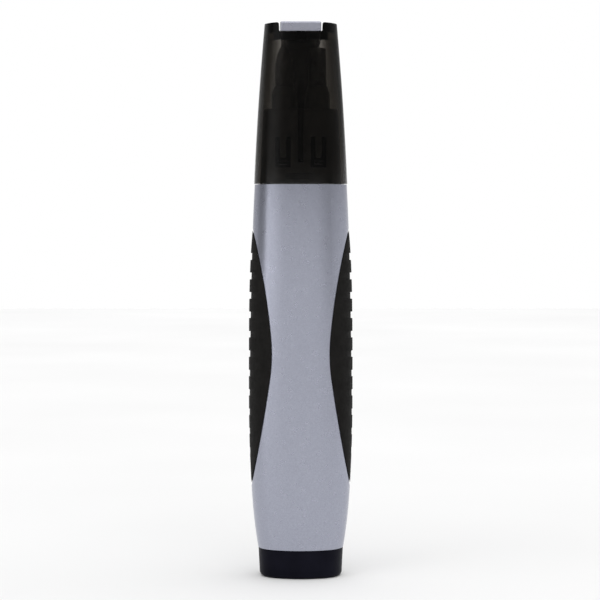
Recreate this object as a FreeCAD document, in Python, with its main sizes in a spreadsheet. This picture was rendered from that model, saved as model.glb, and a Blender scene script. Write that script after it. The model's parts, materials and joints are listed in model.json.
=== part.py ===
import FreeCAD, Part
import math
import os
import re

import Sketcher

# Counterfeit detector pen with two tips: an ink nib on the left and an ultraviolet lamp on the
# right. It stands upright on its end plug. +Z is up, the front face looks along -Y, the pocket
# clip is at the back, and the origin is the middle of the end plug's flat foot. Millimetres.

Vector = FreeCAD.Vector
doc = FreeCAD.newDocument("detector_pen")
sheet = doc.addObject("Spreadsheet::Sheet", "Sizes")
scratch = doc.addObject("Spreadsheet::Sheet", "Scratch")

# Every driving dimension: its name in the sheet, its value and what it is.
DIMENSIONS = [
    ("side_round", 0.88, "side arc radius of every oval section, as a share of its half depth"),
    # The barrel, from its lower edge to its rim
    ("base_level", 7.8, "lower edge of the barrel"),
    ("base_half_width", 11.55, ""),
    ("base_half_depth", 7.8, ""),
    ("foot_level", 16.0, ""),
    ("foot_half_width", 12.68, ""),
    ("foot_half_depth", 8.25, ""),
    ("low_level", 27.0, ""),
    ("low_half_width", 13.5, ""),
    ("low_half_depth", 8.6, ""),
    ("mid_level", 58.0, "widest section, in the middle of the grips"),
    ("mid_half_width", 13.74, ""),
    ("mid_half_depth", 8.8, ""),
    ("high_level", 88.0, ""),
    ("high_half_width", 13.14, ""),
    ("high_half_depth", 8.65, ""),
    ("rim_level", 105.95, "upper edge of the barrel"),
    ("rim_half_width", 12.42, ""),
    ("rim_half_depth", 8.2, ""),
    ("shell_wall", 1.4, ""),
    # The grips
    ("grip_seat_depth", 0.65, "how deep the rubber is let into the shells"),
    ("waist_level", 60.6, "where the silver face is narrowest"),
    ("waist_half_width", 7.8, ""),
    ("waist_arc_top", 65.0, "upper end of the tight arc at the waist"),
    ("waist_arc_end", 53.5, "lower end of the tight arc at the waist"),
    ("grip_upper_radius", 180.0, ""),
    ("grip_waist_radius", 48.0, ""),
    ("grip_lower_radius", 500.0, ""),
    ("part_line_width", 0.2, "fine groove in the silver, round each grip"),
    ("part_line_depth", 0.25, ""),
    ("grip_cut_top", 97.0, ""),
    ("grip_cut_bottom", 22.0, ""),
    ("grip_cut_side", 20.0, ""),
    ("rib_pitch", 5.26, ""),
    ("rib_length", 3.34, "length of one rib along the pen"),
    ("first_rib_level", 34.95, "lower end of the lowest full rib"),
    ("rib_count", 10, ""),
    # The crest that the ribs rise to
    ("crest_start_level", 24.0, ""),
    ("crest_start_half_width", 13.2, ""),
    ("crest_start_half_depth", 7.4, ""),
    ("crest_low_level", 33.0, ""),
    ("crest_low_half_width", 13.77, ""),
    ("crest_low_half_depth", 7.5, ""),
    ("crest_mid_level", 58.0, ""),
    ("crest_mid_half_width", 14.05, ""),
    ("crest_mid_half_depth", 7.65, ""),
    ("crest_high_level", 88.0, ""),
    ("crest_high_half_width", 13.45, ""),
    ("crest_high_half_depth", 7.5, ""),
    ("crest_end_level", 96.0, ""),
    ("crest_end_half_width", 12.75, ""),
    ("crest_end_half_depth", 7.3, ""),
    # The nose block
    ("tip_offset", 4.47, "from the pen's axis to each tip's axis"),
    ("nose_foot_level", 97.5, ""),
    ("nose_foot_half_width", 10.95, ""),
    ("nose_foot_half_depth", 6.72, ""),
    ("nose_rim_half_width", 10.86, "at the barrel's rim"),
    ("nose_rim_half_depth", 6.7, ""),
    ("nose_top_level", 126.1, ""),
    ("nose_top_half_width", 10.06, ""),
    ("nose_top_half_depth", 6.2, ""),
    ("nose_wall", 1.3, ""),
    ("catch_rib_level", 99.2, "rib that the two shells hold the nose block by"),
    ("catch_rib_length", 1.2, ""),
    ("catch_rib_rise", 0.6, ""),
    ("running_gap", 0.05, ""),
    ("nose_top_chamfer", 0.4, ""),
    ("tower_radius", 3.37, ""),
    ("tower_shoulder_level", 130.0, ""),
    ("tower_neck_radius", 2.62, ""),
    ("tower_top_level", 132.35, ""),
    ("tower_bore_radius", 1.92, ""),
    ("window_offset", 4.7, ""),
    ("window_half_width", 2.07, ""),
    ("window_bottom", 110.4, ""),
    ("window_top", 118.7, ""),
    ("tongue_half_width", 0.82, ""),
    ("tongue_end", 113.0, ""),
    ("groove_bottom", 111.0, ""),
    ("groove_bottom_half_width", 1.5, ""),
    ("groove_top_half_width", 1.05, ""),
    ("groove_floor", 5.7, "distance of the groove's floor from the pen's middle plane"),
    ("detent_level", 108.15, "snap detent between the cap and the nose block"),
    ("detent_half_length", 4.05, ""),
    ("detent_radius", 0.95, ""),
    ("detent_floor", 6.0, ""),
    # The tip carrier inside the nose block
    ("carrier_bottom", 119.2, ""),
    ("carrier_top", 120.6, ""),
    ("leg_inner", 3.7, "distance of a leg's inner face from the pen's middle plane"),
    ("leg_outer", 4.2, ""),
    ("leg_half_width", 0.8, ""),
    ("hook_tip", 5.5, ""),
    ("hook_half_width", 1.05, ""),
    ("hook_bottom", 111.2, ""),
    ("hook_top", 112.5, ""),
    ("lead_guide_radius", 3.3, ""),
    ("lead_guide_bore", 2.7, ""),
    ("lead_guide_bottom", 109.6, ""),
    # The cap
    ("cap_rim_level", 106.1, ""),
    ("cap_rim_half_width", 12.58, ""),
    ("cap_rim_half_depth", 8.2, ""),
    ("cap_mid_level", 127.0, ""),
    ("cap_mid_half_width", 11.42, ""),
    ("cap_mid_half_depth", 7.42, ""),
    ("cap_end_level", 150.4, "end of the cap's form, above its trimmed crown"),
    ("cap_end_half_width", 9.58, ""),
    ("cap_end_half_depth", 6.2, ""),
    ("cap_wall", 0.9, ""),
    ("cap_crown_level", 149.1, ""),
    ("cap_crown_radius", 250.0, ""),
    ("cap_crown_half_width", 14.0, ""),
    ("cap_ear_ceiling", 146.4, ""),
    ("cap_mid_ceiling", 144.4, ""),
    ("notch_half_width", 5.8, ""),
    ("notch_floor", 146.65, ""),
    ("ear_wall", 1.2, "between the notch and the hollow of each ear"),
    ("lug_fit", 0.05, ""),
    ("guide_rib_half_width", 0.6, ""),
    ("bead_rise", 6.75, "where the snap bead comes out of the cap's wall"),
    # The pocket clip
    ("clip_half_width", 5.45, ""),
    ("clip_top", 149.2, ""),
    ("clip_front", 6.0, ""),
    ("clip_stem_half_width", 3.5, ""),
    ("clip_end_half_width", 3.2, ""),
    ("clip_end_level", 112.0, ""),
    ("clip_pivot_back", 7.3, "the bend that the clip flexes about"),
    ("clip_pivot_level", 147.82, ""),
    ("clip_knuckle_radius", 1.38, ""),
    ("clip_lug_inner", 1.4, ""),
    ("clip_lug_outer", 5.2, ""),
    ("clip_lug_middle", -3.4, "distance of the lugs' middle from the pen's middle plane"),
    ("clip_lug_half_depth", 1.0, ""),
    ("clip_tip_back", 8.2, "where the arm's tip rests, just behind the cap"),
    ("clip_reach", 10.75, "the arm's furthest point from the pen's middle plane"),
    # The end plug
    ("plug_foot_half_width", 11.15, ""),
    ("plug_foot_half_depth", 7.5, ""),
    ("plug_top_half_width", 11.48, ""),
    ("plug_top_half_depth", 7.58, ""),
    ("plug_foot_round", 1.2, ""),
    ("foot_recess_half_width", 8.6, ""),
    ("foot_recess_half_depth", 5.0, ""),
    ("foot_recess_depth", 0.35, ""),
    ("skirt_top", 13.0, ""),
    ("skirt_half_width", 10.1, ""),
    ("skirt_half_depth", 6.3, ""),
    ("skirt_wall", 1.0, ""),
    ("plug_floor", 1.8, ""),
    ("spring_boss_radius", 4.6, ""),
    ("spring_boss_bore", 3.7, ""),
    ("spring_boss_top", 4.8, ""),
    ("spring_pin_radius", 1.7, ""),
    ("spring_pin_top", 6.8, ""),
    ("spring_plate_level", 4.82, ""),
    ("spring_plate_thickness", 0.23, ""),
    ("spring_plate_half_width", 2.6, ""),
    ("strip_half_width", 1.2, "of the contact strip and the tab that touches it"),
    ("strip_inner", 6.7, ""),
    ("strip_outer", 6.95, ""),
    ("plug_tab_inner", 7.1, ""),
    ("plug_tab_outer", 7.35, ""),
    ("coil_radius", 3.1, ""),
    ("coil_wire_radius", 0.27, ""),
    ("coil_pitch", 2.05, ""),
    ("coil_turns", 5, ""),
    # Ink side
    ("cartridge_radius", 3.6, ""),
    ("cartridge_wall", 0.5, ""),
    ("cartridge_bottom", 36.0, ""),
    ("cartridge_top", 118.0, ""),
    ("nib_radius", 1.2, ""),
    ("nib_bottom", 108.0, ""),
    ("nib_top", 140.2, ""),
    ("ferrule_shoulder_level", 136.0, ""),
    ("ferrule_top", 137.4, ""),
    ("nib_fit", 0.02, "clearance round the nib"),
    ("seal_cup_radius", 2.5, "seal cap that closes over the nib"),
    ("seal_cup_bore", 2.02, ""),
    ("seal_shoulder_level", 138.0, ""),
    ("seal_point_level", 142.8, ""),
    ("seal_stem_radius", 0.75, ""),
    ("seal_stem_top", 145.5, ""),
    # Lamp side
    ("lamp_tube_radius", 2.48, ""),
    ("lamp_tube_top", 142.4, ""),
    ("lamp_tube_bottom", 124.6, ""),
    ("lamp_tube_bore", 1.2, ""),
    ("lamp_seat_radius", 2.02, "bore that holds the lamp and its window"),
    ("led_flange_level", 134.7, ""),
    ("led_flange_radius", 1.95, ""),
    ("led_radius", 1.5, ""),
    # Battery and electrics
    ("cell_radius", 5.8, ""),
    ("cell_height", 5.4, ""),
    ("cell_bottom", 16.2, "lower face of the lowest cell"),
    ("cell_count", 3, ""),
    ("holder_bore_radius", 5.95, ""),
    ("holder_radius", 6.6, ""),
    ("holder_bottom", 14.5, ""),
    ("bulkhead_level", 33.0, ""),
    ("bulkhead_top", 34.2, ""),
    ("rail_top", 96.0, ""),
    ("board_front", 4.5, ""),
    ("board_back", 5.3, ""),
    ("board_half_width", 5.0, ""),
    ("board_bottom", 58.0, ""),
    ("board_top", 95.0, ""),
    ("button_level", 84.0, ""),
    ("button_half_width", 3.0, ""),
    ("button_half_height", 4.5, ""),
    ("button_gap", 0.12, ""),
    ("button_face", 9.2, ""),
    ("button_flange_inner", 6.5, ""),
    ("button_flange_outer", 6.9, ""),
    ("rail_outer", 5.8, ""),
    ("rail_lip", 4.3, ""),
    ("contact_disc_radius", 4.6, ""),
    ("switch_half_size", 3.0, ""),
    ("switch_height", 0.8, ""),
    ("plunger_radius", 1.5, ""),
    ("lead_radius", 0.24, ""),
    ("wire_radius", 0.4, ""),
    ("wire_bend", 4.0, ""),
]

# Length of a cut that goes right through the pen.
THROUGH = "60"

BARREL = ("base", "foot", "low", "mid", "high", "rim")
CREST = ("crest_start", "crest_low", "crest_mid", "crest_high", "crest_end")


# ---------------------------------------------------------------- sheet and expressions


def fill_sheet():
    for row, (alias, value, note) in enumerate(DIMENSIONS, 1):
        sheet.set(f"A{row}", note or alias.replace("_", " "))
        sheet.set(f"B{row}", str(value))
        sheet.setAlias(f"B{row}", alias)
    doc.recompute()


def bound(text):
    """An expression in which each plain word is a cell of the sheet."""
    return re.sub(r"\b(?!(?:sin|cos|deg)\b)[a-z][a-z_]+\b", r"Sizes.\g<0>", str(text))


def number(text):
    """The present value of an expression, worked out in a scratch cell."""
    scratch.set("A1", "=" + bound(text))
    scratch.recompute()
    result = scratch.get("A1")
    return float(getattr(result, "Value", result))


def drive(obj, prop, text):
    obj.setExpression(prop, bound(text))


# ---------------------------------------------------------------- sketches


def new_body(name):
    return doc.addObject("PartDesign::Body", name)


def new_sketch(body, plane, raised="0", shifted="0"):
    """A sketch on one of the body's own origin planes, raised along its normal and shifted along its x."""
    sketch = body.newObject("Sketcher::SketchObject", body.Name + "_sketch")
    origin_plane = [f for f in body.Origin.OriginFeatures if f.Role == plane + "_Plane"][0]
    sketch.AttachmentSupport = [(origin_plane, "")]
    sketch.MapMode = "FlatFace"
    drive(sketch, "AttachmentOffset.Base.z", raised)
    drive(sketch, "AttachmentOffset.Base.x", shifted)
    return sketch


def dimension(sketch, kind, target, text):
    """Adds one driving constraint whose value follows an expression."""
    index = sketch.addConstraint(Sketcher.Constraint(kind, *target, number(text)))
    drive(sketch, f"Constraints[{index}]", text)


def place_point(sketch, geometry, end, across, up):
    dimension(sketch, "DistanceX", (-1, 1, geometry, end), across)
    dimension(sketch, "DistanceY", (-1, 1, geometry, end), up)


def polygon(sketch, corners):
    """A closed outline of straight edges; each corner is a pair of expressions."""
    points = [Vector(number(x), number(y), 0) for x, y in corners]
    first = sketch.GeometryCount
    count = len(points)
    for i in range(count):
        sketch.addGeometry(Part.LineSegment(points[i], points[(i + 1) % count]), False)
    for i in range(count):
        ends = (first + i, 2, first + (i + 1) % count, 1)
        sketch.addConstraint(Sketcher.Constraint("Coincident", *ends))
    for i, (x, y) in enumerate(corners):
        place_point(sketch, first + i, 1, x, y)
    return sketch


def rectangle(sketch, left, bottom, right, top):
    return polygon(sketch, [(left, bottom), (right, bottom), (right, top), (left, top)])


def circle(sketch, across, up, radius):
    centre = Vector(number(across), number(up), 0)
    index = sketch.addGeometry(Part.Circle(centre, Vector(0, 0, 1), number(radius)), False)
    place_point(sketch, index, 3, across, up)
    dimension(sketch, "Radius", (index,), radius)
    return sketch


def arc_of(centre, radius, start, end):
    full = Part.Circle(Vector(*centre, 0), Vector(0, 0, 1), radius)
    return Part.ArcOfCircle(full, start, end)


def slot(sketch, first_centre, second_centre, radius):
    """An outline with two parallel sides and two round ends."""
    (x1, y1), (x2, y2) = [(number(x), number(y)) for x, y in (first_centre, second_centre)]
    turn = math.atan2(y2 - y1, x2 - x1)
    r = number(radius)
    side = Vector(-math.sin(turn) * r, math.cos(turn) * r, 0)
    a, b = Vector(x1, y1, 0), Vector(x2, y2, 0)
    g = sketch.GeometryCount
    quarter = math.pi / 2
    sketch.addGeometry(
        [
            arc_of((x1, y1), r, turn + quarter, turn + 3 * quarter),
            Part.LineSegment(a - side, b - side),
            arc_of((x2, y2), r, turn - quarter, turn + quarter),
            Part.LineSegment(b + side, a + side),
        ],
        False,
    )
    for i in range(4):
        ends = (g + i, 2, g + (i + 1) % 4, 1)
        sketch.addConstraint(Sketcher.Constraint("Tangent", *ends))
    place_point(sketch, g, 3, *first_centre)
    place_point(sketch, g + 2, 3, *second_centre)
    dimension(sketch, "Radius", (g,), radius)
    return sketch


def oval(sketch, half_width, half_depth, inset="0"):
    """Four tangent arcs: two round sides, and a flatter front and back. Inset moves all of them inwards."""
    side = f"({half_depth} * side_round)"
    reach = f"({half_width} - {side})"
    face = f"(({reach} ^ 2 + ({half_depth}) ^ 2 - {side} ^ 2) / (2 * ({half_depth} - {side})))"
    side_r = number(f"{side} - {inset}")
    face_r = number(f"{face} - {inset}")
    drop = number(f"{face} - {half_depth}")
    centre = number(reach)
    joint = math.atan2(drop, centre)
    half = math.pi
    sketch.addGeometry(
        [
            arc_of((centre, 0), side_r, -joint, joint),
            arc_of((0, -drop), face_r, joint, half - joint),
            arc_of((-centre, 0), side_r, half - joint, half + joint),
            arc_of((0, drop), face_r, half + joint, 2 * half - joint),
        ],
        False,
    )
    for g in range(4):
        sketch.addConstraint(Sketcher.Constraint("Tangent", g, 2, (g + 1) % 4, 1))
    sketch.addConstraint(
        [
            Sketcher.Constraint("PointOnObject", 0, 3, -1),
            Sketcher.Constraint("Symmetric", 2, 3, 0, 3, -1, 1),
            Sketcher.Constraint("PointOnObject", 1, 3, -2),
            Sketcher.Constraint("Equal", 1, 3),
        ]
    )
    dimension(sketch, "Radius", (0,), f"{side} - {inset}")
    dimension(sketch, "DistanceX", (-1, 1, 0, 3), reach)
    dimension(sketch, "Radius", (1,), f"{face} - {inset}")
    return sketch


# ---------------------------------------------------------------- features


def feature(body, kind, sketch, **settings):
    made = body.newObject("PartDesign::" + kind, f"{body.Name}_{kind.lower()}")
    made.Profile = sketch
    for name, value in settings.items():
        setattr(made, name, value)
    sketch.Visibility = False
    return made


def pad(body, sketch, length, **settings):
    made = feature(body, "Pad", sketch, **settings)
    drive(made, "Length", length)
    doc.recompute()
    return made


def pocket(body, sketch, length, **settings):
    """A cut of stated length. It has to take something away."""
    before = body.Shape.Volume
    made = feature(body, "Pocket", sketch, **settings)
    drive(made, "Length", length)
    doc.recompute()
    if body.Shape.Volume > before - 1e-6:
        raise RuntimeError(f"a pocket of {body.Name} cuts nothing")
    return made


def pad_between(body, draw, low, high, plane="XY"):
    """A pad along the plane's normal from one level to another; draw puts the outline in the sketch."""
    sketch = draw(new_sketch(body, plane, raised=low))
    return pad(body, sketch, f"({high}) - ({low})")


def pocket_between(body, draw, low, high, plane="XY"):
    sketch = draw(new_sketch(body, plane, raised=low))
    return pocket(body, sketch, f"({high}) - ({low})", Reversed=True)


def turned(name, corners, across="0"):
    """A round piece: an outline in radius and level, turned about an upright axis."""
    body = new_body(name)
    sketch = polygon(new_sketch(body, "XZ"), corners)
    feature(body, "Revolution", sketch, ReferenceAxis=(sketch, ["V_Axis"]), Angle=360)
    drive(body, "Placement.Base.x", across)
    doc.recompute()
    return body


def loft(body, kind, sections, inset="0"):
    """A loft through ovals. A section is a level, a half width, a half depth and, if given, its own inset."""
    sketches = []
    for level, half_width, half_depth, *own in sections:
        sketch = new_sketch(body, "XY", raised=level)
        sketches.append(oval(sketch, half_width, half_depth, *(own or [inset])))
    doc.recompute()
    made = feature(body, kind, sketches[0])
    made.Sections = [(sketch, [""]) for sketch in sketches[1:]]
    doc.recompute()
    return made


def form(name, sections, inset="0"):
    body = new_body(name)
    loft(body, "AdditiveLoft", sections, inset)
    return body


def stations(names):
    return [(f"{n}_level", f"{n}_half_width", f"{n}_half_depth") for n in names]


def round_edges(body, radius, chosen):
    """Rounds the edges that chosen(edge) picks."""
    base = body.Tip
    names = [f"Edge{i}" for i, e in enumerate(base.Shape.Edges, 1) if chosen(e)]
    if not names:
        raise RuntimeError(f"no edge to round on {body.Name}")
    made = body.newObject("PartDesign::Fillet", body.Name + "_fillet")
    made.Base = (base, names)
    made.Radius = radius
    doc.recompute()
    if not body.Shape.isValid():
        raise RuntimeError(f"the rounded edges of {body.Name} are not valid")
    return made


def lies_at(edge, **limits):
    """True if the whole edge keeps to the stated coordinate values, within a hundredth."""
    box = edge.BoundBox
    return all(
        abs(getattr(box, axis.upper() + side) - value) < 0.01
        for axis, value in limits.items()
        for side in ("Min", "Max")
    )


def combine(kind, name, shapes):
    """A boolean of the Part workbench. Cut takes the second shape from the first."""
    made = doc.addObject("Part::" + kind, name)
    if kind == "Cut":
        made.Base, made.Tool = shapes
    else:
        made.Shapes = shapes
    doc.recompute()
    return made


def mirrored(name, source):
    made = doc.addObject("Part::Mirroring", name)
    made.Source = source
    made.Normal = Vector(1, 0, 0)
    doc.recompute()
    return made


def box(name, low, high):
    """A Part box between two corners, given as expressions."""
    made = doc.addObject("Part::Box", name)
    for side, axis, a, b in zip(("Length", "Width", "Height"), "xyz", low, high):
        drive(made, side, f"({b}) - ({a})")
        drive(made, f"Placement.Base.{axis}", a)
    doc.recompute()
    return made


def sub_part(obj, name):
    obj.Label = name
    SUB_PARTS.append(obj)
    return obj


SUB_PARTS = []


# ---------------------------------------------------------------- barrel and grips


def grip_cutter(name, grown="0"):
    """Prism through the pen whose edge, seen from the front, is the curved side of the left grip."""
    body = new_body(name)
    sketch = new_sketch(body, "XZ")
    radii = [f"grip_{part}_radius + {grown}" for part in ("upper", "waist", "lower")]
    upper_r, waist_r, lower_r = [number(radius) for radius in radii]
    middle = (-number("waist_half_width + grip_waist_radius"), number("waist_level"))
    side = -number("grip_cut_side")
    top, bottom = number("grip_cut_top"), number("grip_cut_bottom")
    upper_turn = math.asin((number("waist_arc_top") - middle[1]) / waist_r)
    lower_turn = math.asin((number("waist_arc_end") - middle[1]) / waist_r)

    def centre_of(radius, turn):
        """Centre of an arc that carries on from the waist's arc where that has made the turn."""
        back = radius - waist_r
        return middle[0] - back * math.cos(turn), middle[1] - back * math.sin(turn)

    upper_centre, lower_centre = centre_of(upper_r, upper_turn), centre_of(lower_r, lower_turn)
    upper_end = math.asin((top - upper_centre[1]) / upper_r)
    lower_end = math.asin((bottom - lower_centre[1]) / lower_r)
    upper_arc = arc_of(upper_centre, upper_r, upper_turn, upper_end)
    waist_arc = arc_of(middle, waist_r, lower_turn, upper_turn)
    lower_arc = arc_of(lower_centre, lower_r, lower_end, lower_turn)
    corner_top, corner_bottom = Vector(side, top, 0), Vector(side, bottom, 0)
    sketch.addGeometry(
        [
            upper_arc,
            waist_arc,
            lower_arc,
            Part.LineSegment(lower_arc.StartPoint, corner_bottom),
            Part.LineSegment(corner_bottom, corner_top),
            Part.LineSegment(corner_top, upper_arc.EndPoint),
        ],
        False,
    )
    sketch.addConstraint(
        [
            Sketcher.Constraint("Tangent", 0, 1, 1, 2),
            Sketcher.Constraint("Tangent", 1, 1, 2, 2),
            Sketcher.Constraint("Coincident", 2, 1, 3, 1),
            Sketcher.Constraint("Coincident", 3, 2, 4, 1),
            Sketcher.Constraint("Coincident", 4, 2, 5, 1),
            Sketcher.Constraint("Coincident", 5, 2, 0, 2),
            Sketcher.Constraint("Horizontal", 3),
            Sketcher.Constraint("Vertical", 4),
            Sketcher.Constraint("Horizontal", 5),
        ]
    )
    place_point(sketch, 1, 3, "-waist_half_width - grip_waist_radius", "waist_level")
    for g, radius in enumerate(radii):
        dimension(sketch, "Radius", (g,), radius)
    dimension(sketch, "DistanceY", (-1, 1, 0, 2), "grip_cut_top")
    dimension(sketch, "DistanceY", (-1, 1, 1, 2), "waist_arc_top")
    dimension(sketch, "DistanceY", (-1, 1, 1, 1), "waist_arc_end")
    dimension(sketch, "DistanceY", (-1, 1, 2, 1), "grip_cut_bottom")
    dimension(sketch, "DistanceX", (-1, 1, 4, 1), "-grip_cut_side")
    pad(body, sketch, "2 * grip_cut_side", SideType="Symmetric")
    return body


def rib_slabs():
    """Slabs across the pen where the ribs are, and a longer one past each end of the row."""
    body = new_body("rib_slabs")

    def slab(sketch):
        return rectangle(sketch, "-grip_cut_side", "-grip_cut_side", "0", "grip_cut_side")

    first = pad_between(body, slab, "first_rib_level", "first_rib_level + rib_length")
    row = body.newObject("PartDesign::LinearPattern", "rib_row")
    row.Originals = [first]
    axis = [f for f in body.Origin.OriginFeatures if f.Role == "Z_Axis"][0]
    row.Direction = (axis, [""])
    row.Mode = 1
    drive(row, "Offset", "rib_pitch")
    row.Occurrences = int(number("rib_count"))
    body.Tip = row
    doc.recompute()
    low_end = "first_rib_level - rib_pitch + rib_length"
    high_start = "first_rib_level + rib_count * rib_pitch"
    side = "grip_cut_side"
    low = box("low_rib_slab", (f"-{side}", f"-{side}", "grip_cut_bottom"), ("0", side, low_end))
    high = box("high_rib_slab", (f"-{side}", f"-{side}", high_start), ("0", side, "grip_cut_top"))
    return combine("MultiFuse", "all_rib_slabs", [body, low, high])


def barrel_and_grips():
    outer = form("barrel_outer_form", stations(BARREL))
    inner = form("barrel_inner_form", stations(BARREL), "shell_wall")
    seat = form("grip_seat_form", stations(BARREL), "grip_seat_depth")
    crest = form("grip_crest_form", stations(CREST))
    lip = form("part_line_form", stations(BARREL), "part_line_depth")
    left_cut = grip_cutter("grip_cutter")
    wide_cut = grip_cutter("part_line_cutter", "part_line_width")

    # Left grip: a skin let into the shells, with ribs that rise to the crest and fade to the front.
    skin = combine("Cut", "seat_skin", (outer, seat))
    left_skin = combine("MultiCommon", "left_grip_skin", [skin, left_cut])
    ribs = combine("MultiCommon", "crest_ribs", [crest, left_cut, rib_slabs()])
    left_ribs = combine("Cut", "left_ribs", (ribs, seat))
    left_grip = combine("MultiFuse", "left_grip_solid", [left_skin, left_ribs])
    sub_part(left_grip, "grip_left")
    sub_part(mirrored("right_grip_solid", left_grip), "grip_right")

    # Two half shells that meet at the pen's sides, under the grips.
    deep = combine("Cut", "left_recess", (left_cut, seat))
    shallow = combine("Cut", "left_part_line", (wide_cut, lip))
    left_recess = combine("MultiFuse", "left_recess_and_line", [deep, shallow])
    right_recess = mirrored("right_recess_and_line", left_recess)
    catch = new_body("catch_groove")
    draw = oval_drawer("nose_foot_half_width + catch_rib_rise", "nose_foot_half_depth + catch_rib_rise", 1)
    pad_between(catch, draw, "catch_rib_level - 0.1", "catch_rib_level + catch_rib_length + 0.1")
    cavity = combine("MultiFuse", "barrel_cavity", [inner, left_recess, right_recess, catch])
    tube = combine("Cut", "barrel_tube", (outer, cavity))
    side = "grip_cut_side"
    front = box("front_half", (f"-{side}", f"-{side}", "0"), (side, "0", "rim_level + 5"))
    rear = box("rear_half", (f"-{side}", "0", "0"), (side, side, "rim_level + 5"))
    sub_part(combine("MultiCommon", "front_shell_solid", [tube, front]), "front_shell")
    rear_tube = combine("MultiCommon", "rear_tube", [tube, rear])
    opening = new_body("button_opening")
    sketch = button_outline(new_sketch(opening, "XZ"), "button_gap")
    pad(opening, sketch, "grip_cut_side", Reversed=True)
    sub_part(combine("Cut", "rear_shell_solid", (rear_tube, opening)), "rear_shell")


def oval_drawer(half_width, half_depth, grown=0):
    """A function that draws an oval; grown adds the running gap all round."""
    inset = "-running_gap" if grown else "0"
    return lambda sketch: oval(sketch, f"({half_width})", f"({half_depth})", f"({inset})")


# ---------------------------------------------------------------- nose block and its tips


def nose_block():
    body = new_body("nose_block_body")
    outer = [
        ("nose_foot_level", "nose_foot_half_width", "nose_foot_half_depth"),
        ("rim_level", "nose_rim_half_width", "nose_rim_half_depth"),
        ("nose_top_level", "nose_top_half_width", "nose_top_half_depth"),
    ]
    edge = ("nose_top_level - nose_top_chamfer",) + outer[2][1:]
    loft(body, "AdditiveLoft", outer[:2] + [edge])
    loft(body, "AdditiveLoft", [edge, outer[2] + ("nose_top_chamfer",)])
    draw = oval_drawer("nose_foot_half_width + catch_rib_rise", "nose_foot_half_depth + catch_rib_rise")
    pad_between(body, draw, "catch_rib_level", "catch_rib_level + catch_rib_length")
    for side in ("-", ""):
        sketch = new_sketch(body, "XZ", shifted=f"{side}tip_offset")
        tower = [
            ("0", "nose_top_level - 1"),
            ("tower_radius", "nose_top_level - 1"),
            ("tower_radius", "tower_shoulder_level"),
            ("tower_radius - 0.22", "tower_shoulder_level + 0.95"),
            ("tower_neck_radius + 0.12", "tower_shoulder_level + 1.75"),
            ("tower_neck_radius", "tower_top_level"),
            ("0", "tower_top_level"),
        ]
        polygon(sketch, tower)
        feature(body, "Revolution", sketch, ReferenceAxis=(sketch, ["V_Axis"]), Angle=360)
        doc.recompute()
    inner = list(outer)
    inner[0] = ("nose_foot_level - 0.5", "nose_foot_half_width", "nose_foot_half_depth")
    inner[2] = ("nose_top_level - nose_wall", "nose_top_half_width", "nose_top_half_depth")
    loft(body, "SubtractiveLoft", inner, "nose_wall")
    for side in ("-", ""):
        sketch = new_sketch(body, "XY", raised="nose_top_level - 3")
        circle(sketch, f"{side}tip_offset", "0", "tower_bore_radius")
        pocket(body, sketch, THROUGH, Reversed=True)
    # Windows on both faces. Each leaves a springy tongue that hangs from its upper edge.
    for side in ("-", ""):
        middle = f"({side}window_offset)"
        window = [
            (f"{middle} - window_half_width", "window_bottom"),
            (f"{middle} + window_half_width", "window_bottom"),
            (f"{middle} + window_half_width", "window_top"),
            (f"{middle} + tongue_half_width", "window_top"),
            (f"{middle} + tongue_half_width", "tongue_end"),
            (f"{middle} - tongue_half_width", "tongue_end"),
            (f"{middle} - tongue_half_width", "window_top"),
            (f"{middle} - window_half_width", "window_top"),
        ]
        pocket(body, polygon(new_sketch(body, "XZ"), window), THROUGH, SideType="Symmetric")
    tongue_low = number("tongue_end")
    round_edges(body, 0.78, lambda e: lies_at(e, z=tongue_low) and e.BoundBox.XLength < 0.01)
    groove = [
        ("-groove_bottom_half_width", "groove_bottom"),
        ("groove_bottom_half_width", "groove_bottom"),
        ("groove_top_half_width", "nose_top_level + 1"),
        ("-groove_top_half_width", "nose_top_level + 1"),
    ]
    sketch = polygon(new_sketch(body, "XZ", raised="groove_floor"), groove)
    pocket(body, sketch, THROUGH, Reversed=True)
    low = number("groove_bottom")
    round_edges(body, 0.7, lambda e: lies_at(e, z=low) and e.BoundBox.XLength < 0.01 and e.BoundBox.YMax < 0)
    ends = [(f"{s}(detent_half_length - detent_radius)", "detent_level") for s in ("-", "")]
    sketch = slot(new_sketch(body, "XZ", raised="detent_floor"), *ends, "detent_radius")
    pocket(body, sketch, THROUGH, Reversed=True)
    sub_part(body, "nose_block")


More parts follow.
